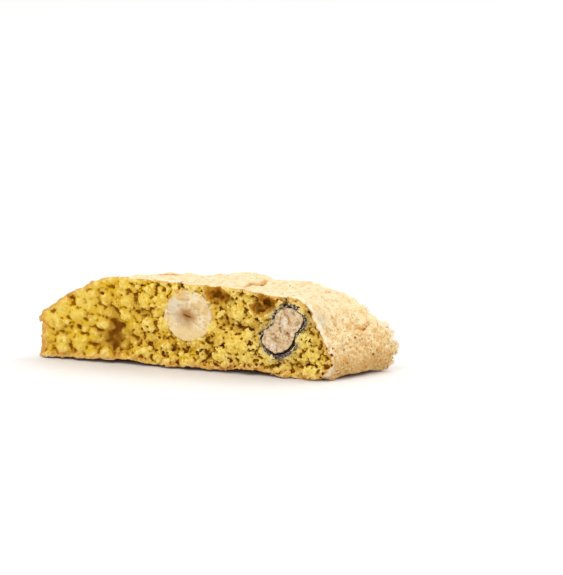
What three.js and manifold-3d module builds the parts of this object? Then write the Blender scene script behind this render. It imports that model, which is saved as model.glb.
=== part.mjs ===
// A biscotto: one slanted slice of a domed, twice-baked log of yellow dough with whole hazelnuts in it.
// Millimetres, +Z up. X runs along the front cut, Y from the front cut to the back cut, and Z = 0 is the
// surface that the slice stands on. The origin is under the middle of the slice.
import * as THREE from "three";
import { ImprovedNoise } from "three/addons/math/ImprovedNoise.js";
import { mergeVertices } from "three/addons/utils/BufferGeometryUtils.js";
import Module from "manifold-3d";

const wasm = await Module();
wasm.setup();

// Driving dimensions
const THICKNESS = 17.6; // between the two cuts
const NUT_GAP = 0.3; // baked dough stands this far off a nut
const CUT_ROUGHNESS = 0.42; // how far the broken crumb stands in or out of the knife's plane
const CRUST_ROUGHNESS = 0.3; // swells and dents of the crust
const BASE_CRUMBLED = 0.9; // how far the base's edges stand off the table, on average, between its feet

// The crust's line round each cut, from the left foot over the dome to the right foot, as [along, up] from
// the front cut's left foot. The back line lies further right, because the log was cut on a slant.
const FRONT_LINE = [
  [0.3, 0], [1.1, 4], [1.4, 8.8], [1.2, 12.2], [4.3, 14.8], [8.5, 18.2], [14.5, 21], [20.5, 23.2], [30, 23.7],
  [42, 23.1], [54, 22.9], [66, 21.9], [73.8, 21], [77, 18.4], [78.6, 13.4], [81.6, 8.6], [82.7, 4.6], [80.8, 0],
];
const BACK_LINE = [
  [13.2, 0], [13, 4.2], [13.6, 8.4], [15, 12], [18.4, 15.8], [23, 18.8], [28.4, 21], [34, 21.9], [42, 21.7],
  [54.3, 23.8], [62, 22.3], [72, 22], [80.5, 19.8], [86.5, 16.8], [91.4, 13], [94.5, 8.8], [95.6, 5.2], [93, 0],
];
const MIDDLE_X = (0.3 + 95.65) / 2; // from the front cut's left foot to the origin

// Mesh sizes
const STEPS_PER_POINT = 3; // of the crust between two points of its line
const BASE_STEPS = 34; // along the flat base
const CRUST_STEPS = 10; // from one cut to the other
const CUT_CELL = 2.1; // of the crumb's relief
const FINEST = 0.03; // smaller edges left by the cutting are joined up

const noise = new ImprovedNoise();
const along = (x) => x - MIDDLE_X;

// A closed geometry as a solid that can be joined and cut.
function solid(geometry) {
  const bare = geometry.clone();
  bare.deleteAttribute("normal");
  bare.deleteAttribute("uv");
  const merged = mergeVertices(bare, 1e-4);
  return new wasm.Manifold(
    new wasm.Mesh({
      numProp: 3,
      vertProperties: new Float32Array(merged.attributes.position.array),
      triVerts: new Uint32Array(merged.index.array),
    }),
  );
}

// A solid as a geometry that three.js draws.
function geometryOf(made) {
  const mesh = made.getMesh();
  const geometry = new THREE.BufferGeometry();
  const points = new Float32Array(mesh.numVert * 3);
  for (let i = 0; i < mesh.numVert; i++) {
    points.set(mesh.vertProperties.subarray(i * mesh.numProp, i * mesh.numProp + 3), i * 3);
  }
  geometry.setAttribute("position", new THREE.BufferAttribute(points, 3));
  geometry.setIndex(new THREE.BufferAttribute(mesh.triVerts, 1));
  geometry.computeVertexNormals();
  return geometry;
}

// An egg-shaped solid with its own small lumps.
function lump({ at, radii, detail = 1, roughness = 0, tilt = 0 }) {
  const geometry = new THREE.IcosahedronGeometry(1, detail);
  const position = geometry.attributes.position;
  const point = new THREE.Vector3();
  for (let i = 0; i < position.count; i++) {
    point.fromBufferAttribute(position, i);
    const swell = noise.noise(2 * point.x + at[0], 2 * point.y + at[1], 2 * point.z + at[2]);
    point.multiplyScalar(1 + roughness * swell).multiply(new THREE.Vector3(...radii));
    point.applyAxisAngle(new THREE.Vector3(0, 1, 0), tilt);
    position.setXYZ(i, point.x + along(at[0]), point.y + at[1], point.z + at[2]);
  }
  return solid(geometry);
}

// The crust's line at a share of the way from the front cut (0) to the back cut (1).
function crustLine(share) {
  const points = FRONT_LINE.map(([x, z], i) => {
    const [backX, backZ] = BACK_LINE[i];
    return new THREE.Vector3(THREE.MathUtils.lerp(x, backX, share), 0, THREE.MathUtils.lerp(z, backZ, share));
  });
  const curve = new THREE.CatmullRomCurve3(points, false, "centripetal");
  return curve.getPoints(STEPS_PER_POINT * (points.length - 1));
}

// How far the base stands off the table, at a place along the slice and a share of its thickness: its edges
// have crumbled away at both cuts, and the right foot is rounded up between them.
function baseLift(x, share, rightFoot) {
  const { smoothstep } = THREE.MathUtils;
  const nearCut = Math.max(0, 1 - Math.min(share, 1 - share) / 0.24);
  const ragged = 0.75 + 0.5 * noise.noise(x / 6, 4.3, share > 0.5 ? 7.7 : 1.1);
  const betweenFeet = smoothstep(x, 5, 22) * (1 - smoothstep(x, 62, 74));
  const crumbled = BASE_CRUMBLED * ragged * nearCut * nearCut * betweenFeet;
  const midway = smoothstep(share, 0.2, 0.5) * (1 - smoothstep(share, 0.7, 0.9));
  return crumbled + 0.9 * midway * smoothstep(x, rightFoot - 8, rightFoot);
}

// The baked log, a little longer than the slice at both cuts, as rings of points joined into a skin.
function bakedLog() {
  const overrun = 0.12;
  const rings = [];
  for (let step = 0; step <= CRUST_STEPS; step++) {
    const share = THREE.MathUtils.lerp(-overrun, 1 + overrun, step / CRUST_STEPS);
    const y = (share - 0.5) * THICKNESS;
    const line = crustLine(share);
    const left = line[0];
    const right = line[line.length - 1];
    const top = line.map((point, i) => {
      const before = line[Math.max(0, i - 1)];
      const after = line[Math.min(line.length - 1, i + 1)];
      const outward = new THREE.Vector3(before.z - after.z, 0, after.x - before.x).normalize();
      const clearOfTable = THREE.MathUtils.smoothstep(point.z, 0, 5);
      const swells = noise.noise(point.x / 5.5, y / 5.5, point.z / 5.5);
      const ripples = noise.noise(point.x / 2.6, y / 2.6, 9.4) / 2;
      const out = CRUST_ROUGHNESS * (swells + ripples) * clearOfTable;
      const lift = baseLift(point.x, share, right.x) * (1 - clearOfTable);
      return [point.x + outward.x * out, y, point.z + outward.z * out + lift];
    });
    const base = [];
    for (let i = 1; i < BASE_STEPS; i++) {
      const x = THREE.MathUtils.lerp(right.x, left.x, i / BASE_STEPS);
      base.push([x, y, baseLift(x, share, right.x)]);
    }
    rings.push([...top, ...base]);
  }
  return loft(rings);
}

// Joins rings of equal length into a closed skin, with both ends capped.
function loft(rings) {
  const size = rings[0].length;
  const positions = rings.flat().flatMap(([x, y, z]) => [along(x), y, z]);
  const faces = [];
  for (let ring = 0; ring + 1 < rings.length; ring++) {
    for (let i = 0; i < size; i++) {
      const a = ring * size + i;
      const b = ring * size + ((i + 1) % size);
      faces.push(a, b, a + size, b, b + size, a + size);
    }
  }
  const caps = [rings[0], rings[rings.length - 1]];
  caps.forEach((ring, end) => {
    const first = end * (rings.length - 1) * size;
    const flat = ring.map(([x, , z]) => new THREE.Vector2(x, z));
    for (const [a, b, c] of THREE.ShapeUtils.triangulateShape(flat, [])) {
      const withRing = THREE.ShapeUtils.area([flat[a], flat[b], flat[c]]) * THREE.ShapeUtils.area(flat) > 0;
      faces.push(first + a, ...(withRing === (end === 1) ? [first + b, first + c] : [first + c, first + b]));
    }
  });
  const geometry = new THREE.BufferGeometry();
  geometry.setAttribute("position", new THREE.Float32BufferAttribute(positions, 3));
  geometry.setIndex(faces);
  const made = solid(geometry);
  return made.volume() > 0 ? made : solid(turnedRound(geometry));
}

// The same geometry with every face turned to look the other way.
function turnedRound(geometry) {
  const index = geometry.index.array;
  for (let i = 0; i < index.length; i += 3) {
    [index[i + 1], index[i + 2]] = [index[i + 2], index[i + 1]];
  }
  return geometry;
}

// The space between the two cuts, with the crumb's broken relief on both sides.
function betweenCuts(roughness) {
  const width = 104;
  const height = 30;
  const cells = roughness ? [Math.round(width / CUT_CELL), Math.round(height / CUT_CELL)] : [1, 1];
  const geometry = new THREE.BoxGeometry(width, THICKNESS, height, cells[0], 1, cells[1]);
  geometry.translate(0, 0, height / 2 - 2);
  const position = geometry.attributes.position;
  for (let i = 0; i < position.count; i++) {
    const [x, y, z] = [position.getX(i), position.getY(i), position.getZ(i)];
    const side = Math.sign(y) * 31.7;
    const coarse = noise.noise(x / 8.1, z / 8.1, side);
    const fine = noise.noise(x / 3.1, z / 3.1, side + 5.3);
    position.setY(i, y + roughness * (0.8 * coarse + 1.1 * fine));
  }
  return solid(geometry);
}

// The nuts, each of one or two lobes. A lobe is given by its centre from the front cut's left foot, and its
// radii. Where the brown skin stands off the kernel, it is a thin cup of its own with the kernel loose in it.
const FRONT_CUT = -THICKNESS / 2;
const BACK_CUT = THICKNESS / 2;
const SKIN = 0.45;
const NUTS = [
  {
    name: "hazelnut_front_left",
    colour: 0xe6cfa6,
    lobes: [{ at: [43.5, FRONT_CUT + 1.2, 14.6], radii: [6.7, 6.3, 6.8] }],
  },
  {
    name: "hazelnut_front_right",
    colour: 0xcdb295,
    lobes: [
      { at: [68.5, FRONT_CUT + 1, 9.7], radii: [5.1, 4.8, 5.2], tilt: 0.3 },
      { at: [71.2, FRONT_CUT + 1, 14.6], radii: [4.8, 4.6, 4.9] },
    ],
    looseKernel: [
      { at: [68.5, FRONT_CUT + 1, 10.4], radii: [4.0, 3.7, 3.8], tilt: 0.3 },
      { at: [71.3, FRONT_CUT + 1, 14.6], radii: [3.8, 3.6, 3.9] },
    ],
  },
  {
    name: "hazelnut_back_left",
    colour: 0xa78a6c,
    lobes: [{ at: [37.5, BACK_CUT - 1.4, 10.8], radii: [6.5, 5.6, 6.0], tilt: 0.4 }],
    hollow: { at: [37.3, BACK_CUT, 10.9], radii: [0.6, 2.6, 5.0], tilt: 0.5 },
  },
  {
    name: "hazelnut_back_right",
    colour: 0xa78a6c,
    lobes: [{ at: [70, BACK_CUT - 1, 12.4], radii: [6.1, 5.7, 6.9], tilt: -0.2 }],
    hollow: { at: [69.8, BACK_CUT, 12.2], radii: [1.0, 2.2, 1.7], tilt: 0.2 },
  },
];

// The lobes joined, each grown by the same distance.
function lobesSolid(lobes, growth) {
  return lobes
    .map((lobe) => lump({ ...lobe, radii: lobe.radii.map((r) => r + growth), detail: 3, roughness: 0.05 }))
    .reduce((whole, lobe) => whole.add(lobe));
}

// The larger hollows that show on the front cut, as [along, up, radius], each a short tunnel into the crumb.
const FRONT_HOLLOWS = [
  [51.4, 20.6, 2], [64.2, 19.2, 1.8], [54, 13.6, 1.7], [20.6, 19.1, 1.1], [21.9, 9.4, 1.7], [20.4, 5.4, 1.5],
  [31, 5.3, 1.3], [36.4, 11, 0.9], [30, 14.4, 1.1], [17.2, 15.9, 1.1], [13.7, 6.4, 1.2], [11, 17.4, 1.1],
  [43.4, 5, 0.9], [48.3, 4.6, 1.1], [57.8, 21, 0.9], [73.3, 3.6, 0.9], [81, 4.4, 1], [60.6, 8.2, 0.9],
];
const BACK_HOLLOWS = [
  [55, 17.4, 1.9], [82.6, 9.4, 1.7], [50.6, 6, 1.5], [27.2, 15.6, 1.4], [61.4, 9.8, 1.2], [86.8, 5.6, 1.1],
  [22, 7.6, 1.5], [45.6, 18.8, 1.2], [78.6, 16.6, 1.2], [58.6, 19.6, 0.9],
];
const SMALL_HOLLOWS = 18; // more on each cut, spread by chance

const chance = () => THREE.MathUtils.seededRandom();

// Whether a place on a cut lies in the crumb: inside the crust's line and clear of that cut's nuts.
function inCrumb(x, z, radius, share) {
  const margin = 1.1 + radius;
  const line = crustLine(share).map((point) => new THREE.Vector2(point.x, point.z));
  const inside = line.reduce((found, a, i) => {
    const b = line[(i + 1) % line.length];
    const crosses = a.y > z !== b.y > z && x < ((b.x - a.x) * (z - a.y)) / (b.y - a.y) + a.x;
    return crosses ? !found : found;
  }, false);
  const clearOfCrust = line.every((point) => Math.hypot(point.x - x, point.y - z) > margin);
  const cut = (share - 0.5) * THICKNESS;
  const clearOfNuts = NUTS.flatMap((nut) => nut.lobes)
    .filter(({ at }) => Math.abs(at[1] - cut) < 2)
    .every(({ at, radii }) => Math.hypot(at[0] - x, at[2] - z) > Math.max(...radii) + margin);
  return inside && z > margin + 1 && clearOfCrust && clearOfNuts;
}

// The hollows of one cut: those that are named, then small ones where there is room.
function hollows(named, share) {
  const found = [...named];
  while (found.length < named.length + SMALL_HOLLOWS) {
    const x = 95 * chance();
    const z = 23 * chance();
    const radius = 0.55 + 0.4 * chance();
    const room = ([otherX, otherZ, other]) => Math.hypot(otherX - x, otherZ - z) > other + radius + 0.9;
    if (found.every(room) && inCrumb(x, z, radius, share)) {
      found.push([x, z, radius]);
    }
  }
  const y = (share - 0.5) * THICKNESS;
  return found.map(([x, z, r]) =>
    lump({
      at: [x, y, z],
      radii: [r * 1.15, r * 1.3, r * 0.95],
      detail: r < 1 ? 0 : 1,
      roughness: 0.35,
      tilt: 3 * chance(),
    }),
  );
}

// Where the crust split as the log rose, as long thin grooves: centre, half length, half width and turn.
const SPLITS = [
  { at: [59.7, -0.6, 22.9], radii: [0.6, 5.8, 1.0], turn: -0.39 },
  { at: [33.0, 3.5, 23.2], radii: [0.55, 5.0, 1.0], turn: -0.7 },
  { at: [87.4, 2.6, 13.6], radii: [0.5, 4.2, 0.8], turn: -0.5 },
];

function splits() {
  return SPLITS.map(({ at, radii, turn }) =>
    lump({ at: [MIDDLE_X, 0, 0], radii, detail: 2 })
      .rotate([0, 0, THREE.MathUtils.radToDeg(turn)])
      .translate([along(at[0]), at[1], at[2]]),
  );
}

// The slice: the log between the cuts, less its hollows and splits and a pocket round each nut.
function biscuitSolid() {
  THREE.MathUtils.seededRandom(11);
  const slice = bakedLog().intersect(betweenCuts(CUT_ROUGHNESS));
  const pockets = NUTS.map((nut) => lobesSolid(nut.lobes, NUT_GAP));
  const removed = [...pockets, ...hollows(FRONT_HOLLOWS, 0), ...hollows(BACK_HOLLOWS, 1), ...splits()];
  const carved = removed.reduce((left, piece) => left.subtract(piece), slice).simplify(FINEST);
  return carved.decompose().reduce((whole, scrap) => (scrap.volume() > whole.volume() ? scrap : whole));
}

function mesh(name, made, colour, roughness) {
  const material = new THREE.MeshStandardMaterial({ color: colour, roughness, metalness: 0 });
  const piece = new THREE.Mesh(geometryOf(made), material);
  piece.name = name;
  return piece;
}

const biscotto = new THREE.Group();
biscotto.add(mesh("biscuit", biscuitSolid(), 0xd9b04a, 0.9));
const cutSlice = betweenCuts(CUT_ROUGHNESS / 3);
for (const nut of NUTS) {
  const kernel = lobesSolid(nut.looseKernel ?? nut.lobes, 0).intersect(cutSlice);
  const hollowed = nut.hollow ? kernel.subtract(lump({ ...nut.hollow, detail: 2 })) : kernel;
  biscotto.add(mesh(nut.name, hollowed, nut.colour, 0.7));
  if (nut.looseKernel) {
    const skin = lobesSolid(nut.lobes, 0).subtract(lobesSolid(nut.lobes, -SKIN)).intersect(cutSlice);
    biscotto.add(mesh(nut.name + "_skin", skin, 0x2f2620, 0.8));
  }
}

export default biscotto;
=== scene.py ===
import math

import bpy
import numpy as np
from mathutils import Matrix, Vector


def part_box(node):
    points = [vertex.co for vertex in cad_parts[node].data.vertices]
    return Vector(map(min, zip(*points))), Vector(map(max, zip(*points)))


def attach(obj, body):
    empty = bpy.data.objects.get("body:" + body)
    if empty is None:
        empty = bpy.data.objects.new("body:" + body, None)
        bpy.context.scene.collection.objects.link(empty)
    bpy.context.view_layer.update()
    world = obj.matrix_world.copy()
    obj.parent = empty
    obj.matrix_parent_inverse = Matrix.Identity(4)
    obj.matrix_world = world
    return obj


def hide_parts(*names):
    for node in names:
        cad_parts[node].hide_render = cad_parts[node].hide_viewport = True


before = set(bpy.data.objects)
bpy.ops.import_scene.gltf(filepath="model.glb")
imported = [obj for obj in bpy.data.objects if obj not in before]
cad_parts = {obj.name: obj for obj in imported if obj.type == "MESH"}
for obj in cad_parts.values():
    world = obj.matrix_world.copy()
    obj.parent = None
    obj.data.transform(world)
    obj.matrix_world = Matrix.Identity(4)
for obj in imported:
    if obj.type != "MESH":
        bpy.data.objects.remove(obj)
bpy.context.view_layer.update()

import openvdb
from mathutils import Vector

# The slice is dough of egg, flour and sugar, baked as a low domed log, cut on a slant while warm, and baked
# again. Its form is worked out in millimetres as a distance from the surface, less than nought inside, on a
# block of evenly spaced points. The surface where the distance is nought is skinned as one closed mesh.
MM = 0.001
LEFT_FOOT = -47.97  # lengths along the slice start at the front cut's left foot
HALF_THICKNESS = 8.8


class Block:
    """Evenly spaced points in a box, in millimetres, on which the distances of one form are kept."""

    def __init__(self, low, high, step):
        self.low = np.array(low, float)
        self.step = step
        self.shape = tuple(int(n) + 1 for n in np.ceil((np.array(high) - self.low) / step))
        axes = [start + step * np.arange(n) for start, n in zip(self.low, self.shape)]
        axes = [axis.astype(np.float32) for axis in axes]
        self.x, self.y, self.z = np.meshgrid(*axes, indexing="ij", sparse=True)

    def waves(self, stretch=(1, 1, 1)):
        """How often each wave of the block's spectrum comes, per millimetre."""
        often = [np.fft.fftfreq(n, self.step) for n in self.shape[:2]]
        often.append(np.fft.rfftfreq(self.shape[2], self.step))
        often = [one * far for one, far in zip(often, stretch)]
        across, deep, up = np.meshgrid(*often, indexing="ij", sparse=True)
        return np.sqrt(across**2 + deep**2 + up**2).astype(np.float32)

    def swells(self, size, seed, stretch=(1, 1, 1)):
        """Even random swells, each about half of size across, with a standard deviation of one."""
        variety = 0.35
        plain = np.random.default_rng(seed).standard_normal(self.shape, dtype=np.float32)
        kept = np.fft.rfftn(plain) * np.exp(-0.5 * ((self.waves(stretch) * size - 1) / variety) ** 2)
        field = np.fft.irfftn(kept, self.shape).astype(np.float32)
        return (field - field.mean()) / field.std()

    def softened(self, field, reach):
        """The field with each point averaged over about reach round it."""
        kept = np.fft.rfftn(field) * np.exp(-2 * (math.pi * reach * self.waves()) ** 2)
        return np.fft.irfftn(kept, self.shape).astype(np.float32)

    def near(self, centre, reach):
        """The part of the block within reach of a place, and how far each of its points is from there."""
        low = np.maximum(np.floor((centre - reach - self.low) / self.step).astype(int), 0)
        high = np.minimum(np.ceil((centre + reach - self.low) / self.step).astype(int) + 1, self.shape)
        part = tuple(slice(start, stop) for start, stop in zip(low, high))
        apart = np.sqrt(
            (self.x[part[0]] - centre[0]) ** 2
            + (self.y[:, part[1]] - centre[1]) ** 2
            + (self.z[:, :, part[2]] - centre[2]) ** 2
        )
        return part, apart

    def heap(self, centres, radii, soft):
        """How deep each point lies in a heap of round lumps that run into each other."""
        total = np.full(self.shape, 1e-30, np.float32)
        for centre, radius in zip(centres, radii):
            part, apart = self.near(centre, radius + 5 * soft)
            total[part] += np.exp((radius - apart) / soft)
        return soft * np.log(total)

    def at(self, field, points):
        """The field at any points, worked out from the eight nearest of the block."""
        place = (points - self.low) / self.step
        corner = np.clip(np.floor(place).astype(int), 0, np.array(self.shape) - 2)
        part = np.clip(place - corner, 0, 1)
        total = np.zeros(len(points))
        for step in np.ndindex(2, 2, 2):
            share = np.prod(np.where(step, part, 1 - part), axis=1)
            total += share * field[tuple((corner + step).T)]
        return total

    def skin(self, distance, name, most):
        """The largest closed surface where the distance is nought, in at most that many triangles."""
        grid = openvdb.FloatGrid(float(distance.max()))
        grid.copyFromArray(np.ascontiguousarray(distance, dtype=np.float32))
        points, threes, fours = grid.convertToPolygons(0.0)
        triangles = np.vstack([threes, fours[:, [0, 1, 2]], fours[:, [0, 2, 3]]]).astype(np.int64)[:, ::-1]
        shell = np.arange(len(points))
        while True:
            lowest = shell[triangles].min(axis=1)
            joined = shell.copy()
            for corner in triangles.T:
                np.minimum.at(joined, corner, lowest)
            joined = joined[joined]
            if (joined == shell).all():
                break
            shell = joined
        triangles = triangles[shell[triangles[:, 0]] == np.bincount(shell).argmax()]
        used, triangles = np.unique(triangles, return_inverse=True)
        made = new_mesh(name, (self.low + self.step * points[used]) * MM, triangles.reshape(-1, 3))
        if len(made.data.polygons) > most:
            thinning = made.modifiers.new("thinning", "DECIMATE")
            thinning.ratio = most / len(made.data.polygons)
            settle(made)
        return made


def new_mesh(name, points, triangles):
    """An object of the triangles, each given as three of the points."""
    mesh = bpy.data.meshes.new(name)
    mesh.vertices.add(len(points))
    mesh.vertices.foreach_set("co", np.asarray(points, np.float32).ravel())
    mesh.loops.add(3 * len(triangles))
    mesh.loops.foreach_set("vertex_index", np.asarray(triangles, np.int32).ravel())
    mesh.polygons.add(len(triangles))
    mesh.polygons.foreach_set("loop_start", np.arange(0, 3 * len(triangles), 3, dtype=np.int32))
    mesh.update(calc_edges=True)
    mesh.validate()
    made = bpy.data.objects.new(name, mesh)
    bpy.context.collection.objects.link(made)
    return made


def settle(made):
    """Puts what the modifiers make into the object's own mesh, and removes them."""
    view = bpy.context.evaluated_depsgraph_get()
    finished = bpy.data.meshes.new_from_object(made.evaluated_get(view))
    made.modifiers.clear()
    made.data = finished


def tag(made, **values):
    """Keeps a number for each point of the mesh, under a name that its material reads."""
    for name, numbers in values.items():
        kept = made.data.attributes.new(name, "FLOAT", "POINT")
        kept.data.foreach_set("value", np.asarray(numbers, np.float32))


def places(made):
    """Where the points of the mesh are, in millimetres."""
    points = np.empty(3 * len(made.data.vertices), np.float32)
    made.data.vertices.foreach_get("co", points)
    return points.reshape(-1, 3) / MM


def shade_smooth(made):
    """Lets the light run smoothly over the mesh, from one triangle to the next."""
    made.data.polygons.foreach_set("use_smooth", np.ones(len(made.data.polygons), bool))


def ramp(value, low, high):
    """Nought below low, one above high, and a smooth rise between."""
    share = np.clip((value - low) / (high - low), 0, 1)
    return share * share * (3 - 2 * share)


# the crust's line round each cut, from the left foot over the dome to the right foot, as (along, up). The
# back line lies further right, because of the slant.
FRONT_LINE = [
    (-0.4, 0), (0.6, 3.6), (0.9, 8.8), (0.9, 12.4), (4.3, 15), (8.5, 18.2), (14.5, 21), (20.5, 23.2),
    (30, 23.7), (42, 23.1), (54, 22.9), (66, 21.9), (73.8, 21), (77, 18.4), (78.6, 13.4), (81.6, 8.6),
    (82.7, 4.6), (80.8, 0),
]
BACK_LINE = [
    (13.2, 0), (13, 4.2), (13.6, 8.4), (15, 12), (18.4, 15.8), (23, 18.8), (28.4, 21), (34, 21.9),
    (42, 21.7), (54.3, 23.8), (62, 22.3), (72, 22), (80.5, 19.8), (86.5, 16.8), (91.4, 13), (94.5, 8.8),
    (95.6, 5.2), (93, 0),
]
RING_PLACES = np.linspace(-0.15, 1.15, 27)  # as shares of the way from the front cut to the back one
RING_STEPS = 6  # from one point of a line to the next
BELOW_TABLE = -4
LOG_REACH = 5  # how far off the crust the distance is worked out


def smooth_line(points, steps):
    """A smooth curve through the points, with its tangents set by how far apart they are."""
    points = np.vstack([2 * points[0] - points[1], points, 2 * points[-1] - points[-2]])
    share = np.linspace(0, 1, steps, endpoint=False)[:, None]
    curve = []
    for before, start, end, after in zip(points, points[1:], points[2:], points[3:]):
        gaps = [math.sqrt(np.linalg.norm(b - a)) for a, b in ((before, start), (start, end), (end, after))]
        middle = (end - start) / gaps[1]
        leaving = gaps[1] * ((start - before) / gaps[0] - (end - before) / (gaps[0] + gaps[1]) + middle)
        arriving = gaps[1] * (middle - (after - start) / (gaps[1] + gaps[2]) + (after - end) / gaps[2])
        bend = 3 * (end - start) - 2 * leaving - arriving
        turn = 2 * (start - end) + leaving + arriving
        curve.append(start + leaving * share + bend * share**2 + turn * share**3)
    return np.vstack(curve + [points[-2:-1]])


def log_distance(block):
    """How far each point is from the smooth log, whose crust joins the two lines and runs on downwards."""
    rings = []
    for share in RING_PLACES:
        line = smooth_line((1 - share) * np.array(FRONT_LINE) + share * np.array(BACK_LINE), RING_STEPS)
        line = np.vstack([[line[0, 0], BELOW_TABLE], line, [line[-1, 0], BELOW_TABLE]])
        depth = np.full(len(line), (2 * share - 1) * HALF_THICKNESS)
        rings.append(np.column_stack([line[:, 0] + LEFT_FOOT, depth, line[:, 1]]))
    size = len(rings[0])
    around = np.arange(size)
    ring = around + size * np.arange(len(rings) - 1)[:, None]
    after = np.roll(around, -1) + size * np.arange(len(rings) - 1)[:, None]
    fours = np.stack([ring, after, after + size, ring + size], axis=-1).reshape(-1, 4)
    fan = np.column_stack([np.zeros(size - 2, int), around[1:-1], around[2:]])
    caps = np.vstack([fan[:, ::-1], fan + size * (len(rings) - 1)])
    points = (np.vstack(rings) - block.low) / block.step
    grid = openvdb.FloatGrid.createLevelSetFromPolygons(
        points.astype(np.float32),
        triangles=caps.astype(np.uint32),
        quads=fours.astype(np.uint32),
        halfWidth=LOG_REACH / block.step,
    )
    distance = np.empty(block.shape, np.float32)
    grid.copyToArray(distance)
    return distance * block.step


VOXEL = 0.25
MOST_TRIANGLES = 190000
BLOCK_LOW, BLOCK_HIGH = (-49.6, -10.2, -1.2), (49.6, 10.2, 25.6)
SWELL_SIZES = (8.0, 4.6, 2.3, 1.35, 0.8)
block = Block(BLOCK_LOW, BLOCK_HIGH, VOXEL)
along = block.x - LEFT_FOOT
broad, middling, small, fine, gritty = (block.swells(size, seed) for seed, size in enumerate(SWELL_SIZES))
below_cut = HALF_THICKNESS - abs(block.y)

# crust: slow swells on the smooth log, and fine wrinkles across its right end
BROAD_SWELL, MIDDLING_SWELL, SMALL_SWELL, WRINKLE_DEPTH = 0.14, 0.08, 0.05, 0.08
WRINKLE_SIZE, WRINKLE_SEED, WRINKLE_STRETCH = 1.3, 5, (1, 0.22, 1)
WRINKLED_END = (64, 76)
wrinkles = block.swells(WRINKLE_SIZE, WRINKLE_SEED, WRINKLE_STRETCH) * ramp(along, *WRINKLED_END)
side_depth = -log_distance(block) + BROAD_SWELL * broad + MIDDLING_SWELL * middling
side_depth = side_depth + SMALL_SWELL * small + WRINKLE_DEPTH * wrinkles

# the crust split as the dome rose, and the dough on the left of a split stands up, as (along, deep, half
# length, turn, how far it stands up)
SPLITS = [(59.7, -0.6, 6.4, -0.39, 0.6), (33.0, 3.5, 5.0, -0.7, 0.5), (87.4, 2.6, 4.2, -0.5, 0.2)]
SPLIT_WIDTH, SPLIT_DEPTH = 0.38, 0.45
ON_THE_DOME = (8, 12)
split = np.zeros(block.shape, np.float32)
for place_x, place_y, half_length, turn, rise in SPLITS:
    lengthways = (block.y - place_y) * math.cos(turn) - (along - place_x) * math.sin(turn)
    across = (along - place_x) * math.cos(turn) + (block.y - place_y) * math.sin(turn)
    across = across + 0.15 * middling + 0.05 * fine
    ends = 1 - ramp(abs(lengthways), 0.4 * half_length, 1.1 * half_length)
    ends = ends * ramp(block.z, *ON_THE_DOME)
    swollen = ramp(across, -5.0, -0.5) * (1 - ramp(across, -0.3, 0.4))
    split = np.maximum(split, ends * np.exp(-((across / SPLIT_WIDTH) ** 2)))
    side_depth += rise * swollen * ends
side_depth -= SPLIT_DEPTH * split

# base: flat where it was baked on. Its edges crumbled up along both cuts, as (along, up) on the front one,
# and it is rounded up at its right foot, most of all where that meets the front cut.
BASE_EDGE = [
    (1, 0.1), (3.5, 0.4), (9.5, 0.6), (15, 0.8), (21, 1.0), (27, 1.2), (33, 0.55), (41, 0.45),
    (44, 0.95), (47, 0.6), (52.5, 0.55), (57, 1.2), (61, 1.45), (65.6, 0.85), (69, 0.3), (74.5, 0),
]
BACK_EDGE_START = 94  # the back edge is the front one, run the other way from here
EDGE_REACH, RAGGED_REACH, CORNER_REACH = (2, 8), (0, 1.5), (0, 2.2)
CORNER_LIFT, CORNER_PLACE = 1.8, (78, 82)
FRONT_FOOT, FOOT_SLANT, FOOT_LIFT = 80.8, 12.2, 0.9
edge_along = np.where(block.y < 0, along, BACK_EDGE_START - along)
lift = np.interp(edge_along, *np.transpose(BASE_EDGE)) * (1 - ramp(below_cut, *EDGE_REACH))
lift = lift + np.clip(0.1 * middling + 0.25 * small, 0, None) * (1 - ramp(below_cut, *RAGGED_REACH))
lift = lift + CORNER_LIFT * ramp(edge_along, *CORNER_PLACE) * (1 - ramp(below_cut, *CORNER_REACH))
right_foot = along - FRONT_FOOT - FOOT_SLANT * (block.y + HALF_THICKNESS) / (2 * HALF_THICKNESS)
lift = lift + FOOT_LIFT * ramp(right_foot, -7, 0) * ramp(below_cut, 2.5, 6)
base_depth = block.z - lift
crust_depth = np.minimum(side_depth, base_depth)

# the hollows that are large enough to know by place on each cut, as (along, up, radius)
FRONT_HOLLOWS = [
    (50.7, 20.9, 2.1), (52.7, 20.2, 1.8), (64.9, 19.6, 2.2), (63.1, 18.0, 1.8), (53.8, 13.7, 1.7),
    (20.6, 19.1, 1.2), (22.3, 9.6, 2.5), (20.3, 5.6, 2.4), (31, 5.3, 1.3), (36.5, 11.5, 0.9),
    (37, 9, 0.8), (30, 14.4, 1.1), (14.2, 17.3, 0.9), (17.4, 15.9, 1.1), (21.4, 14, 1.2),
    (19, 10.9, 0.9), (13.7, 6.4, 1.2), (11, 3.7, 1.1), (6.8, 13, 0.9), (43.4, 5.2, 0.9),
    (39.2, 5.4, 0.8), (48.2, 4.8, 1.1), (50.7, 5.5, 0.8), (58, 21.2, 0.7), (73.2, 19.1, 0.9),
    (81.1, 4, 1.0), (81.6, 6.5, 0.8), (73, 3.4, 0.8), (9.9, 17.2, 1.1), (41.4, 22.2, 0.9),
    (30.5, 8.2, 0.6), (8.2, 8.7, 0.8), (34.3, 21.4, 0.7), (25.5, 3.5, 0.8), (48.5, 2.7, 0.8),
    (61.5, 14.1, 0.6), (60.7, 8.2, 0.7), (53.8, 4.4, 0.7), (55.4, 3.5, 0.7), (76.4, 16.5, 0.6),
    (77.5, 12.4, 0.7), (77.8, 7.7, 0.6), (79.2, 2.5, 0.6), (62.3, 3.5, 0.8), (34.4, 1.8, 0.8),
    (5.2, 11.8, 0.8), (78.4, 11.9, 0.6), (76.7, 14.3, 0.5), (79.7, 4.4, 0.6), (75.4, 12.9, 0.9),
]
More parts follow.
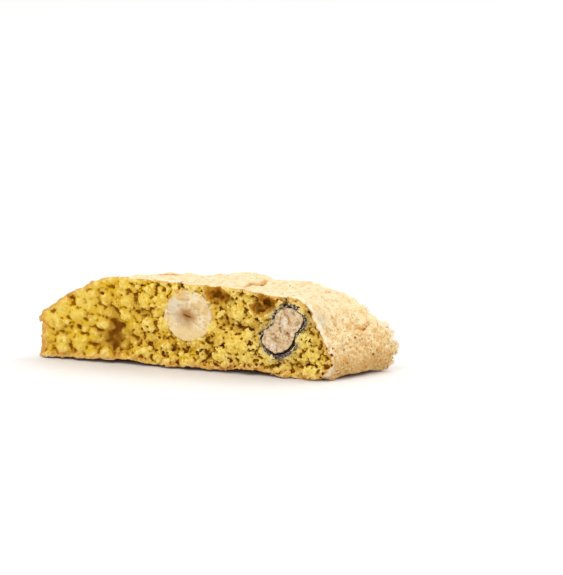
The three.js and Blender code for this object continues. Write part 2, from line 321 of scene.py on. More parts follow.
BACK_HOLLOWS = [
    (55, 17.4, 1.9), (82.6, 9.4, 1.7), (50.6, 6, 1.5), (27.2, 15.6, 1.4), (61.4, 9.8, 1.2),
    (86.8, 5.6, 1.1), (22, 7.6, 1.5), (45.6, 18.8, 1.2), (78.6, 16.6, 1.2), (58.6, 19.6, 0.9),
    (30, 5, 1.3), (47, 13, 1.0),
]

# cuts: the dough broke into round lumps. Those of each size are heaped on the larger ones, and leave gaps
# between, as (how many, least radius, most radius, how far they stand up, how unevenly)
LUMPS = [(170, 1.4, 2.7, 1.15, 0.4), (750, 0.7, 1.3, 0.2, 0.4), (2200, 0.38, 0.7, 0.1, 0.18)]
LUMPS_SEED, LUMPS_LENGTH, LUMPS_HEIGHT = 7, 96, 24.5
GROUND, HIGHEST = -1.3, 0.45  # the floor of the gaps and the highest top, from the cut
HEAP_SOFTNESS = 0.07
CRACK_SIZE, CRACK_SEED, CRACK_DEPTH = 2.7, 24, 0.55
BUBBLES_FROM = 40  # a hollow further left is a dent with no edge of its own
DENT_RADIUS = 1.5  # a smaller hollow has a dent round it
CAVE_RADIUS, CAVE_ROOF = 1.75, 0.5  # a larger one is a bubble of the dough, with painted shade on its wall
chance = np.random.default_rng(LUMPS_SEED)
lump_places = []
lump_radii = []
relief = np.zeros(block.shape, np.float32)
tops = relief.copy()
bubbles = np.full(block.shape, -9.0, np.float32)
caves = bubbles.copy()
cracks = block.swells(CRACK_SIZE, CRACK_SEED)
flat_x, flat_z = along[:, 0], block.z[:, 0]
for side, hollows in ((-1, FRONT_HOLLOWS), (1, BACK_HOLLOWS)):
    layer = int(round((side * HALF_THICKNESS - block.low[1]) / block.step))
    ground = GROUND + 0.15 * broad[:, layer] + 0.2 * middling[:, layer]
    ground *= 0.8 + 0.35 * ramp(flat_x, 25, 50)
    ground -= CRACK_DEPTH * np.clip(cracks[:, layer], 0, None)
    # the gaps grow shallow towards the crust
    inner = np.minimum(side_depth[:, layer] * (1 + 2 * (flat_x > 50)), base_depth[:, layer])
    ground *= 0.3 + 0.7 * ramp(inner, -0.5, 2.2)
    for place_x, place_z, radius in hollows:
        if radius < DENT_RADIUS or place_x < BUBBLES_FROM:
            sink = 0.9 - 0.4 * ramp(place_x, 35, 45)
            apart = np.hypot(flat_x - place_x, flat_z - place_z)
            ground -= sink * radius * np.exp(-((apart / (1.5 * radius)) ** 2))
        centre = np.array((place_x + LEFT_FOOT, side * 0.95 * HALF_THICKNESS, place_z))
        part, apart = block.near(centre, 2 * radius + 1)
        ragged = 0.25 * small[part] + 0.18 * fine[part] + 0.12 * radius * middling[part]
        if radius > CAVE_RADIUS and place_x > BUBBLES_FROM:
            opened = np.minimum(1.15 * radius + 0.6 * ragged - apart, side_depth[part] - CAVE_ROOF)
            caves[part] = np.maximum(caves[part], opened)
        elif place_x > BUBBLES_FROM:
            bubbles[part] = np.maximum(bubbles[part], 1.1 * radius + ragged - apart)
    relief += np.where(side * block.y > 0, ground[:, None], 0)
    for count, least, most, mean_rise, spread in LUMPS:
        for _ in range(count):
            radius = chance.uniform(least, most)
            place_x = chance.uniform(0, LUMPS_LENGTH)
            place_z = chance.uniform(0, LUMPS_HEIGHT)
            column = int((place_x - along[0, 0, 0]) / block.step)
            row = int((place_z - block.low[2]) / block.step)
            rise = mean_rise + spread * (0.9 + 0.4 * ramp(place_x, 25, 55)) * chance.normal()
            top = min(ground[column, row] + rise, HIGHEST)
            reach = int(radius / block.step) + 1
            part = tuple(slice(max(place - reach, 0), place + reach + 1) for place in (column, row))
            apart = (flat_x[part[0]] - place_x) ** 2 + (flat_z[:, part[1]] - place_z) ** 2
            round_top = top - radius + np.sqrt(np.clip(radius**2 - apart, 0, None))
            ground[part] = np.where(apart < radius**2, np.maximum(ground[part], round_top), ground[part])
            lump_places.append((place_x + LEFT_FOOT, side * (HALF_THICKNESS + top - radius), place_z))
            lump_radii.append(radius)
    tops += np.where(side * block.y > 0, ground[:, None], 0)
crumb_depth = block.heap(np.array(lump_places), lump_radii, HEAP_SOFTNESS)
crumb_depth = np.maximum(crumb_depth, below_cut + relief)

# towards the left end the lumps are taken as pressed, so they are softer and run into each other
PRESSED_END, PRESSED_SHARE, PRESSED_REACH = (14, 42), 0.85, 0.38
smeared = PRESSED_SHARE * (1 - ramp(along, *PRESSED_END))
pressed = below_cut + block.softened(tops, PRESSED_REACH)
crumb_depth += smeared * (pressed - crumb_depth)
crumb_depth += 0.05 * small + (0.6 + 0.4 * ramp(along, 15, 50)) * (0.1 * fine + 0.08 * gritty)

# the crust itself was cut clean, all round the crumb
CLEAN_WIDTH = 0.25
clean = 1 - ramp(side_depth + 0.15 * small, 0.0, CLEAN_WIDTH)
cut_depth = clean * (below_cut - 0.1 + 0.12 * small) + (1 - clean) * crumb_depth

# pores: a few more bubbles open where the cut went through them, as (size, seed, how rare, how deep), and
# fine ones in the toasted dough by the crust
PORES = ((5.0, 21, 2.4, 2.6), (3.0, 22, 2.5, 2.0))
FINE_PORE_SIZE, FINE_PORE_SEED, FINE_PORE_DEPTH = 1.7, 23, 1.8
for size, seed, rare, reach in PORES:
    threshold = rare + 1.2 * np.clip(below_cut - reach, 0, None) + 2.5 * np.clip(1.0 - crust_depth, 0, None)
    bubbles = np.maximum(bubbles, (block.swells(size, seed) - threshold) * size / (2 * math.pi))
toasted_zone = ramp(side_depth, 0.4, 0.7) * (1 - ramp(side_depth, 2.0, 3.2)) * ramp(along, 56, 66)
toasted_zone = toasted_zone * (below_cut < FINE_PORE_DEPTH)
fine_pores = block.swells(FINE_PORE_SIZE, FINE_PORE_SEED) - 3.2 + 2.7 * toasted_zone
bubbles = np.maximum(bubbles, 0.35 * fine_pores)

# pinholes in the low part of the end's crust
PINHOLES, LEAST_PINHOLE, PINHOLE_SPREAD = 70, 0.15, 0.22
end_crust = (abs(side_depth) < 0.1) & (along > 79) & (block.z > 1.5) & (block.z < 13) & (below_cut > 0.8)
for row in chance.choice(np.argwhere(end_crust), PINHOLES, replace=False):
    radius = LEAST_PINHOLE + PINHOLE_SPREAD * chance.random() ** 3
    part, apart = block.near(block.low + block.step * row, 1.0)
    bubbles[part] = np.maximum(bubbles[part], radius - apart)


# each round nut lies in the dough as a lobe: its centre, from the left foot, its radii and its turn
FRONT, BACK = -HALF_THICKNESS, HALF_THICKNESS
ROUND_NUT = ((43.5, FRONT + 1.2, 14.6), (6.7, 6.3, 6.8), 0)
BACK_NUTS = {
    "hazelnut_back_left": ((37.5, BACK - 1.4, 10.8), (6.5, 5.6, 6.0), 0.4),
    "hazelnut_back_right": ((70, BACK - 1, 12.4), (6.1, 5.7, 6.9), -0.2),
}

# the right nut left its own skin in the dough, whose line shows in the cut, as (along, up)
SKIN_LINE = [
    (66.6, 15.8), (67.8, 17.7), (69.7, 18.9), (71.6, 19.4), (73.4, 18.7), (74.9, 17.3), (75.8, 15.8),
    (75.5, 14.2), (74.3, 12.7), (73.6, 11.2), (73.5, 9.6), (72.9, 7.9), (71.1, 6.2), (69.2, 5.1),
    (67.4, 4.8), (65.9, 5.7), (64.3, 7.7), (63.5, 10.1), (64.1, 12.1), (65.6, 13.2), (66.5, 14.3),
]
POCKET_DEPTH, POCKET_NARROWING = 5.6, 4.6
POCKET_OVERLAP = 0.45  # how far the dough reaches into a nut's form, so that no gap shows


def lobe_depth(block, lobe):
    """How deep each point lies in a round lobe."""
    centre, radii, turn = lobe
    across, up = block.x - LEFT_FOOT - centre[0], block.z - centre[2]
    leaning = across * math.cos(turn) - up * math.sin(turn)
    upright = across * math.sin(turn) + up * math.cos(turn)
    sides = (leaning / radii[0], (block.y - centre[1]) / radii[1], upright / radii[2])
    return (1 - np.sqrt(sum(side**2 for side in sides))) * min(radii)


def outline_depth(block, line, depth_in, narrowing):
    """How deep each point lies in a rounded form whose line is in the front cut, and narrows behind it."""
    steps = 5
    line = smooth_line(np.array(line[-2:] + line + line[:2], float), steps)[2 * steps : -2 * steps]
    along, up = block.x[:, 0] - LEFT_FOOT, block.z[:, 0]
    nearest = np.full(np.broadcast(along, up).shape, 99.0)
    inside = np.zeros(nearest.shape, bool)
    for (start_x, start_z), (end_x, end_z) in zip(line, np.roll(line, -1, axis=0)):
        step_x, step_z = end_x - start_x, end_z - start_z
        share = (along - start_x) * step_x + (up - start_z) * step_z
        share = np.clip(share / (step_x**2 + step_z**2 + 1e-9), 0, 1)
        apart = np.hypot(along - start_x - share * step_x, up - start_z - share * step_z)
        nearest = np.minimum(nearest, apart)
        if start_z != end_z:
            crosses = (start_z > up) != (end_z > up)
            inside ^= crosses & (along < start_x + (up - start_z) * step_x / step_z)
    inwards = np.clip((block.y - FRONT) / depth_in, 0, None)
    narrowed = narrowing * (1 - np.sqrt(np.clip(1 - inwards**2, 0, None)))
    narrowed = narrowed + depth_in * np.clip(inwards - 1, 0, None)
    return np.where(inside, nearest, -nearest)[:, None] - narrowed


skin_depth = outline_depth(block, SKIN_LINE, POCKET_DEPTH, POCKET_NARROWING)
nut_depths = [lobe_depth(block, nut) for nut in (ROUND_NUT, *BACK_NUTS.values())]
pockets = np.maximum.reduce([*nut_depths, skin_depth])
bubbles = np.maximum(bubbles, pockets - POCKET_OVERLAP + 0.2 * small + 0.15 * fine)
depth = np.minimum(np.minimum(crust_depth, cut_depth), -np.maximum(bubbles, caves))

# what the dough's colours go by: the toast under the crust is widest at both ends and over the base, and
# the cut's rim is torn up to a pale lip except over the middle
slice_piece = block.skin(-depth, "baked_slice", MOST_TRIANGLES)
points = places(slice_piece)
filled = (depth > 0).astype(np.float32)
toasted_width = 0.8 + 1.8 * ramp(along, 56, 70) + 1.3 * (1 - ramp(along, 10, 24)) + 0.35 * middling
pale = ramp(side_depth, 0, toasted_width) * ramp(base_depth + 0.5 * middling + 0.4 * small, -0.2, 2.6)
# the underside, which the material paints dark brown: partly its own browning, partly painted shade
beneath = (1 - ramp(base_depth, 0.1, 0.3)) * ramp(side_depth, 0.2, 1.0) * ramp(below_cut, 0, 0.5)
lip = (1 - ramp(below_cut + 0.35 * small + 0.25 * fine, 0.7, 1.4)) * ramp(abs(along - 52), 8, 20)
# how much dough lies round each point, near and wide, which the materials turn into painted shade in hollows
HOLLOW_REACH, WIDE_HOLLOW_REACH = 0.6, 2.0
tag(
    slice_piece,
    crust_depth=block.at(crust_depth, points),
    above_base=block.at(base_depth, points),
    below_cut=block.at(below_cut + np.zeros_like(depth), points),
    toasted=block.at(1 - pale, points),
    beneath=block.at(beneath, points),
    lip=block.at(lip, points),
    crease=block.at(wrinkles, points),
    split=block.at(split, points),
    cave=block.at(ramp(caves, -0.3, -0.1), points),
    skin_near=block.at(ramp(skin_depth + 0.3 * small, -2.0, -0.1), points),
    hollow=block.at(block.softened(filled, HOLLOW_REACH), points),
    wide_hollow=block.at(block.softened(filled, WIDE_HOLLOW_REACH), points),
)
shade_smooth(slice_piece)


def colour(code):
    """A colour from its usual six letters and figures, as the light that it returns."""
    parts = [int(code[i : i + 2], 16) / 255 for i in (0, 2, 4)]
    return [part / 12.92 if part <= 0.04045 else ((part + 0.055) / 1.055) ** 2.4 for part in parts] + [1]


def add_node(tree, kind, inputs=None, **settings):
    """A new node in the tree, whose inputs are linked to a socket or set to a value."""
    node = tree.nodes.new(kind)
    for name, value in settings.items():
        setattr(node, name, value)
    for name, value in (inputs or {}).items():
        if isinstance(value, bpy.types.NodeSocket):
            tree.links.new(value, node.inputs[name])
        else:
            node.inputs[name].default_value = value
    return node


class Finish:
    """A material and a short way to add nodes to it."""

    def __init__(self, name, roughness):
        self.material = bpy.data.materials.new(name)
        self.material.use_nodes = True
        self.tree = self.material.node_tree
        self.shader = self.tree.nodes["Principled BSDF"]
        self.shader.inputs["Roughness"].default_value = roughness
        self.shader.inputs["Specular IOR Level"].default_value = 0.25

    def add(self, kind, inputs=None, **settings):
        return add_node(self.tree, kind, inputs, **settings)

    def number(self, name):
        return self.add("ShaderNodeAttribute", attribute_name=name).outputs["Fac"]

    def pattern(self, scale, detail=3.0, stretch=(1, 1, 1)):
        """Even noise about nought to one, at that many swells to the metre."""
        place = self.add("ShaderNodeTexCoord").outputs["Object"]
        turned = self.add("ShaderNodeMapping", {"Vector": place, "Scale": stretch}).outputs["Vector"]
        noise = self.add("ShaderNodeTexNoise", {"Vector": turned, "Scale": scale, "Detail": detail})
        return noise.outputs["Fac"]

    def from_place(self, middle, radii, turn=0.0):
        """How far a point is from a spot in the cut, counted in the spot's own radii."""
        metres = [value * MM for value in middle]
        place = self.add("ShaderNodeTexCoord").outputs["Object"]
        apart = self.add("ShaderNodeVectorMath", {0: place, 1: metres}, operation="SUBTRACT")
        scale = [1 / (radius * MM) for radius in radii]
        apart = apart.outputs["Vector"]
        turned = self.add("ShaderNodeVectorRotate", {"Vector": apart, "Axis": (0, 1, 0), "Angle": turn})
        sides = {0: turned.outputs["Vector"], 1: scale}
        sides = self.add("ShaderNodeVectorMath", sides, operation="MULTIPLY")
        far = self.add("ShaderNodeVectorMath", {0: sides.outputs["Vector"]}, operation="LENGTH")
        return far.outputs["Value"]

    def blend(self, low, high, share):
        """Goes from the low colour to the high one as the share goes from nought to one."""
        return self.add("ShaderNodeMix", {0: share, 6: low, 7: high}, data_type="RGBA").outputs[2]

    def over(self, base, code, share, most=None):
        """Lays a colour over the base as far as the share goes, and at most by that part."""
        if most is not None:
            share = self.share(share, most)
        return self.blend(base, colour(code), share)

    def between(self, value, low, high):
        """Nought below low, one above high, and a smooth rise between."""
        limits = {"Value": value, "From Min": low, "From Max": high}
        return self.add("ShaderNodeMapRange", limits, interpolation_type="SMOOTHSTEP").outputs["Result"]

    def sum(self, one, other, operation="ADD"):
        return self.add("ShaderNodeMath", {0: one, 1: other}, operation=operation).outputs[0]

    def share(self, value, part):
        return self.sum(value, part, "MULTIPLY")

    def paint(self, base, *, height=None, distance=0.0002, strength=1.0):
        self.tree.links.new(base, self.shader.inputs["Base Color"])
        if height is not None:
            relief = {"Height": height, "Distance": distance, "Strength": strength}
            bump = self.add("ShaderNodeBump", relief)
            self.tree.links.new(bump.outputs["Normal"], self.shader.inputs["Normal"])
        return self.material


DOUGH_ROUGHNESS, DOUGH_GLOSS = 0.85, 0.03
CRUST_EDGE = (-0.3, -0.05)  # where crust turns to crumb, as its depth less the edge's own unevenness
PINHOLES_TO_THE_METRE = 800.0


def baked_dough(name, tinted):
    """Yellow crumb with painted shade in its hollows, toasted under a tan crust. If tinted, it is all crumb.
    """
    finish = Finish(name, DOUGH_ROUGHNESS)
    finish.shader.inputs["Specular IOR Level"].default_value = DOUGH_GLOSS
    blotches = finish.pattern(190, 2.0)
    grit = finish.pattern(1500, 5.0)
    hollow = finish.number("hollow")
    down = finish.number("below_cut")

    # the crumb's yellow: a painted highlight makes it paler on the lumps' tops, and it is paler to the
    # right.
    # Painted shade makes it brown in the gaps and hollows, and the further behind the cut, the browner.
    # painted light and shade: paler where the crumb stands proud of the cut, darker where it lies behind it
    crumb = finish.blend(colour("F6D460"), colour("EEC548"), finish.between(down, -0.3, 0.9))
    crumb = finish.over(crumb, "EFC526", finish.between(blotches, 0.45, 0.62), 0.6)
    # painted highlight on the lumps' tops
    crumb = finish.over(crumb, "FFE888", finish.between(hollow, 0.45, 0.33), 0.85)
    if tinted:
        tint = finish.number("tint")
        crumb = finish.over(crumb, "FCE27E", finish.between(tint, 0.5, 1.0), 0.5)
        crumb = finish.over(crumb, "CFA22C", finish.between(tint, 0.4, 0.0), 0.5)
    place = finish.add("ShaderNodeTexCoord").outputs["Object"]
    sideways = finish.add("ShaderNodeSeparateXYZ", {"Vector": place}).outputs["X"]
    right = finish.between(sideways, -0.006, 0.014)
    crumb = finish.over(crumb, "FFE884", right, 0.35)
    # painted shade: darker the deeper behind the cut, and in small and wide hollows
    crumb = finish.over(crumb, "C2922A", finish.between(down, 1.0, 2.2), 0.6)
    crumb = finish.over(crumb, "9A660A", finish.between(hollow, 0.52, 0.65))
    wide = finish.number("wide_hollow")
    crumb = finish.over(crumb, "8A5610", finish.between(wide, 0.58, 0.74))
    crumb = finish.over(crumb, "8C5612", finish.between(down, 2.0, 3.4), 0.8)

    # the toast under the crust, with painted shade in its hollows; painted orange-brown shade on the walls
    # of the large bubbles; and pale dust and specks by the nut's skin
    toasted = finish.number("toasted")
    toast = finish.blend(colour("E6A848"), colour("FADA94"), finish.between(grit, 0.46, 0.6))
    toast = finish.over(toast, "D08A30", finish.between(toasted, 0.65, 0.95), 0.5)
    # painted shade in the toast's hollows
    toast = finish.over(toast, "A05C18", finish.between(hollow, 0.46, 0.6))
    crumb = finish.blend(crumb, toast, finish.share(toasted, 0.9))
    # painted shade on the large bubbles' walls: orange-brown, and darker deeper in
    shaded = finish.blend(colour("D09028"), colour("7A480A"), finish.between(wide, 0.48, 0.62))
    crumb = finish.blend(crumb, shaded, finish.share(finish.number("cave"), 0.85))
    skin_near = finish.number("skin_near")
    dusty = finish.share(skin_near, finish.between(grit, 0.42, 0.56))
    crumb = finish.over(crumb, "DDD2A0", dusty, 0.8)
    specks = finish.share(skin_near, finish.between(grit, 0.4, 0.3))
    crumb = finish.over(crumb, "6A6258", specks, 0.8)
    if tinted:
        return finish.paint(crumb, height=grit, distance=0.0003, strength=0.6)

    # the crust: pale and dry on the dome, browner and freckled lower down
    mottle = finish.pattern(480, 3.0)
    freckle = finish.pattern(1500, 4.0)
    up = finish.number("above_base")
    crust = finish.blend(colour("D8B070"), colour("F2DCAA"), finish.between(up, 2, 11))
    crust = finish.over(crust, "E6D3AC", finish.between(up, 13, 21))
    rough_part = finish.between(up, 22, 10)
    spots = finish.sum(finish.share(rough_part, 0.4), 0.35)
    crust = finish.over(crust, "DBAE66", finish.between(mottle, 0.46, 0.62), spots)
    dark = finish.share(finish.between(freckle, 0.46, 0.32), finish.sum(finish.share(rough_part, 0.6), 0.2))
    crust = finish.over(crust, "BE8848", dark)
    crust = finish.over(crust, "FBEFD4", finish.between(freckle, 0.53, 0.68), 0.5)
    crease = finish.number("crease")
    # painted shade in the troughs of the wrinkles
    crust = finish.over(crust, "C08A48", finish.between(crease, -0.9, -2.4), 0.6)
    # painted shade of pinholes too small to model: dark dots, most of all low down
    grid = finish.add("ShaderNodeTexCoord").outputs["Object"]
    holes = finish.add("ShaderNodeTexVoronoi", {"Vector": grid, "Scale": PINHOLES_TO_THE_METRE})
    holes = finish.between(holes.outputs["Distance"], 0.24, 0.14)
    holes = finish.share(holes, finish.between(finish.pattern(260), 0.47, 0.56))
    low_down = finish.share(finish.between(up, 13, 8), 0.6)
    crust = finish.over(crust, "7E5630", holes, low_down)
    patch = finish.from_place((79.8 + LEFT_FOOT, -7.2, 15.8), (1.7, 1.8, 3.0))
    crust = finish.over(crust, "D6C8A6", finish.between(patch, 1.2, 0.5), 0.7)
    crust = finish.over(crust, "F6E8CC", finish.number("lip"), 0.85)
    # the splits are orange-brown: partly the crumb showing in them, partly painted shade of their step
    crust = finish.over(crust, "D09038", finish.number("split"), 0.9)
    # painted shade in the crust's hollows
    crust = finish.over(crust, "86623E", finish.between(hollow, 0.57, 0.66))
    # dark brown underneath: partly the base's own browning, partly painted shade of the gap under it
    crust = finish.over(crust, "8A5828", finish.number("beneath"))
    edge = finish.sum(finish.number("crust_depth"), finish.share(finish.pattern(700), 0.6), "SUBTRACT")
    whole = finish.blend(crust, crumb, finish.between(edge, *CRUST_EDGE))
    return finish.paint(whole, height=freckle, distance=0.0003, strength=0.6)


slice_piece.data.materials.append(baked_dough("baked_dough", False))
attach(slice_piece, "root")
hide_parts("biscuit")


# Small grains of the same baked dough broke loose of the lumps as the knife went through. They are about
# 0.4 to 0.9 mm across, and still cling all over both cuts where they fell, most thickly to the right.
GRAIN_SIZES = {"Spacing": 0.8 * MM, "Least Radius": 0.2 * MM, "Most Radius": 0.46 * MM}
GRAIN_SEGMENTS, GRAIN_RINGS = 6, 4
GRAINS_TO_THE_SQUARE_METRE = 3.0e6
LOOSE_FROM, LOOSE_TO = (0.5, 1.0), 2.0  # how deep below the crust, and below the cut


def grain_tree(finish):
    """Sets round grains of random size, turn and tint on a mesh, where it is marked loose."""
    tree = bpy.data.node_groups.new("clinging_grains", "GeometryNodeTree")
    tree.interface.new_socket("Slice", in_out="INPUT", socket_type="NodeSocketGeometry")
    for name in GRAIN_SIZES:
        tree.interface.new_socket(name, in_out="INPUT", socket_type="NodeSocketFloat")
    tree.interface.new_socket("Grains", in_out="OUTPUT", socket_type="NodeSocketGeometry")

    def add(kind, inputs=None, **settings):
        return add_node(tree, kind, inputs, **settings)

    given = add("NodeGroupInput").outputs
    loose = add("GeometryNodeInputNamedAttribute", {"Name": "loose"}, data_type="FLOAT")
    loose = loose.outputs["Attribute"]
    spread = {"Mesh": given["Slice"], "Distance Min": given["Spacing"], "Seed": 4}
    often = {"Density Max": GRAINS_TO_THE_SQUARE_METRE, "Density Factor": loose}
    spots = add("GeometryNodeDistributePointsOnFaces", {**spread, **often}, distribute_method="POISSON")
    spots = spots.outputs["Points"]
    ball = {"Segments": GRAIN_SEGMENTS, "Rings": GRAIN_RINGS, "Radius": 1.0}
    ball = add("GeometryNodeMeshUVSphere", ball).outputs["Mesh"]
    ball = add("GeometryNodeSetShadeSmooth", {"Geometry": ball}).outputs["Geometry"]
    any_way = {0: (0, 0, 0), 1: (6.28, 6.28, 6.28), "Seed": 5}
    turn = add("FunctionNodeRandomValue", any_way, data_type="FLOAT_VECTOR")
    size = add("FunctionNodeRandomValue", {2: given["Least Radius"], 3: given["Most Radius"], "Seed": 6})
    squashed = {0: (0.75, 0.75, 0.75), 1: (1.25, 1.25, 1.25), "Seed": 7}
    uneven = add("FunctionNodeRandomValue", squashed, data_type="FLOAT_VECTOR")
    scale = add("ShaderNodeVectorMath", {0: uneven.outputs[0], "Scale": size.outputs[1]}, operation="SCALE")
    set_out = {"Points": spots, "Instance": ball, "Rotation": turn.outputs[0]}
    set_out["Scale"] = scale.outputs["Vector"]
    grains = add("GeometryNodeInstanceOnPoints", set_out).outputs["Instances"]
    tint = add("FunctionNodeRandomValue", {"Seed": 8}).outputs[1]
    named = {"Geometry": grains, "Name": "tint", "Value": tint}
    grains = add("GeometryNodeStoreNamedAttribute", named, data_type="FLOAT", domain="INSTANCE")
    grains = grains.outputs["Geometry"]
    grains = add("GeometryNodeRealizeInstances", {"Geometry": grains}).outputs["Geometry"]
    grains = add("GeometryNodeSetMaterial", {"Geometry": grains, "Material": finish}).outputs["Geometry"]
    add("NodeGroupOutput", {"Grains": grains})
    return tree


loose = ramp(block.at(crust_depth, points), *LOOSE_FROM)
loose = loose * (block.at(below_cut + np.zeros_like(depth), points) < LOOSE_TO)
loose = loose * (block.at(pockets, points) < -0.1)
loose = loose * (0.4 + 0.6 * ramp(points[:, 0] - LEFT_FOOT, 10, 45))
grains = bpy.data.objects.new("clinging_grains", slice_piece.data.copy())
bpy.context.collection.objects.link(grains)
tag(grains, loose=loose)
scatter = grains.modifiers.new("grains", "NODES")
scatter.node_group = grain_tree(baked_dough("baked_grains", True))
for socket in scatter.node_group.interface.items_tree:
    if socket.name in GRAIN_SIZES:
        scatter[socket.identifier] = GRAIN_SIZES[socket.name]
settle(grains)
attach(grains, "root")
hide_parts("biscuit")


# The left nut is a whole hazelnut that was baked into the dough, which holds it, and cut straight through
# with the slice: a round kernel with no skin left on it, faintly fibred, brown at its heart.
KERNEL_VOXEL, KERNEL_TRIANGLES, KERNEL_MARGIN = 0.22, 30000, 1.0
NUT_ROUGHNESS = 0.6
SAWN_ROUGHNESS = 0.1  # how far the knife left the face uneven
ENDLESS = 1e4  # a spot's radius into the cut


def kernel_piece(name, depth_of, roughness, hollow=None):
    """A nut's kernel, cut off level with the slice, as a fine mesh that replaces the node of that name."""
    low, high = (np.array(corner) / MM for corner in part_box(name))
    near = Block(low - KERNEL_MARGIN, high + KERNEL_MARGIN, KERNEL_VOXEL)
    rough = 0.5 * near.swells(2.4, 51) + 0.3 * near.swells(1.1, 52)
    depth = depth_of(near)
    cut = HALF_THICKNESS - abs(near.y) + roughness * rough
    if hollow:
        cut = np.minimum(cut, 0.1 * rough - lobe_depth(near, hollow))
    piece = near.skin(-np.minimum(depth, cut), name + "_kernel", KERNEL_TRIANGLES)
    tag(piece, kernel_depth=near.at(depth, places(piece)))
    shade_smooth(piece)
    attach(piece, "root")
    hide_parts(name)
    return piece


def round_kernel():
    """Cream flesh, mottled above and even below, with faint streaks out from a brown slit at its heart."""
    finish = Finish("cut_hazelnut", NUT_ROUGHNESS)
    heart = (ROUND_NUT[0][0] - 0.3 + LEFT_FOOT, 0, ROUND_NUT[0][2])
    grain = finish.pattern(1300, 4.0)
    clouds = finish.pattern(330, 3.0)

    def spot(across, up, radii, turn, full, none):
        """One where a place in the cut is well within the spot, and nought outside, with a ragged edge."""
        middle = (heart[0] + across, 0, heart[2] + up)
        away = finish.from_place(middle, (radii[0], ENDLESS, radii[1]), turn)
        ragged = finish.sum(away, finish.share(finish.sum(clouds, grain), 0.5))
        return finish.between(ragged, none + 0.5, full + 0.5)

    flesh = finish.blend(colour("EDCA8C"), colour("FAE6B8"), finish.between(clouds, 0.4, 0.58))
    greyer = finish.between(finish.pattern(210), 0.52, 0.64)
    flesh = finish.over(flesh, "E2D4B8", greyer, 0.7)
    fibres = finish.pattern(1000, 4.0, (0.6, 1, 1.3))
    flesh = finish.over(flesh, "FAECCC", finish.between(fibres, 0.53, 0.66), 0.6)
    flesh = finish.over(flesh, "C49A60", finish.between(fibres, 0.45, 0.34), 0.5)
    below = finish.share(spot(0.6, -9.6, (9.0, 7.2), 0, 0.92, 1.0), 0.8)
    flesh = finish.over(flesh, "F5D798", below)
    flesh = finish.over(flesh, "D2A878", spot(-3.4, 0.2, (3.6, 0.5), 0.05, 0.3, 1.2), 0.55)
    flesh = finish.over(flesh, "D2A878", spot(2.2, -1.6, (3.0, 0.4), -0.63, 0.3, 1.2), 0.5)
    flesh = finish.over(flesh, "C08E50", spot(0, 0.1, (4.6, 4.0), -0.3, 0.1, 1.05), 0.85)
    flesh = finish.over(flesh, "A8743A", spot(0, 0.1, (2.2, 1.9), -0.3, 0.1, 1.05), 0.8)
    flesh = finish.over(flesh, "5E361A", spot(0.1, 0, (1.4, 0.3), -0.36, 0.5, 1.2), 0.85)
    rim = finish.share(finish.between(finish.number("kernel_depth"), 0.25, -0.2), 0.4)
    flesh = finish.over(flesh, "C89C62", rim)
    return finish.paint(flesh, height=grain, distance=0.0003, strength=0.5)


def round_nut_depth(block):
    return lobe_depth(block, ROUND_NUT) + 0.05 * block.swells(7, 61) + 0.1 * block.swells(2.4, 62)


round_nut = kernel_piece("hazelnut_front_left", round_nut_depth, SAWN_ROUGHNESS)
round_nut.data.materials.append(round_kernel())


# The right nut is a hazelnut that dried and shrank to a kidney, and lies loose in its own skin. It was cut
# with the slice too, and its flesh is darker and coarser.
KERNEL_LINE = [
    (67.6, 16.3), (69.4, 17.9), (71.7, 18.4), (73.6, 17.5), (74.9, 16), (74.4, 14.3), (73.1, 12.8),
    (72.3, 11), (71.4, 8.9), (69.9, 7.5), (68.2, 6.9), (66.3, 7.3), (64.8, 8.6), (64.2, 10.5),
    (65.1, 12.3), (66.5, 13.3), (67.4, 14.6),
]
KERNEL_DEPTH, KERNEL_NARROWING = 4.6, 3.6
KERNEL_SWELLING = 0.25
TORN_ROUGHNESS = 0.35


def shrunken_kernel():
    """Pinkish brown flesh with pale flecks, and a pale and a brown streak down it."""
    finish = Finish("shrunken_hazelnut", NUT_ROUGHNESS)
    grain = finish.pattern(1500, 4.0)
    mottle = finish.pattern(560, 4.0, (1.5, 1, 0.8))
    warp = finish.sum(finish.share(mottle, 1.4), finish.share(grain, 0.6))

    def streak(along, up, radii, turn):
        """One within a long spot whose middle is at that place in the cut, and nought outside it."""
        away = finish.from_place((along + LEFT_FOOT, 0, up), (radii[0], ENDLESS, radii[1]), turn)
        return finish.between(finish.sum(away, warp), 2.0, 1.2)

    flesh = finish.blend(colour("EACB9A"), colour("BC8C5A"), finish.between(mottle, 0.52, 0.66))
    flesh = finish.over(flesh, "F8E6C8", finish.between(mottle, 0.46, 0.36), 0.8)
    flesh = finish.over(flesh, "FFF0D6", streak(70.2, 14.9, (0.8, 3.4), -0.17), 0.9)
    flesh = finish.over(flesh, "A06A3C", streak(69.0, 14.6, (0.45, 2.8), -0.15), 0.7)
    flesh = finish.over(flesh, "A0683A", streak(67.8, 9.9, (2.2, 0.7), -0.39), 0.65)
    flesh = finish.over(flesh, "FFF2E2", streak(66.7, 8.3, (1.5, 1.2), 0.0))
    flesh = finish.over(flesh, "FFF3DE", finish.between(grain, 0.54, 0.66), 0.8)
    flesh = finish.over(flesh, "9A6A40", finish.between(grain, 0.42, 0.32), 0.8)
    return finish.paint(flesh, height=grain, distance=0.0006, strength=0.9)


def shrunken_depth(block):
    depth = outline_depth(block, KERNEL_LINE, KERNEL_DEPTH, KERNEL_NARROWING) + KERNEL_SWELLING
    return depth + 0.1 * block.swells(2.6, 63) + 0.05 * block.swells(1.1, 64)


shrunken_nut = kernel_piece("hazelnut_front_right", shrunken_depth, TORN_ROUGHNESS)
shrunken_nut.data.materials.append(shrunken_kernel())


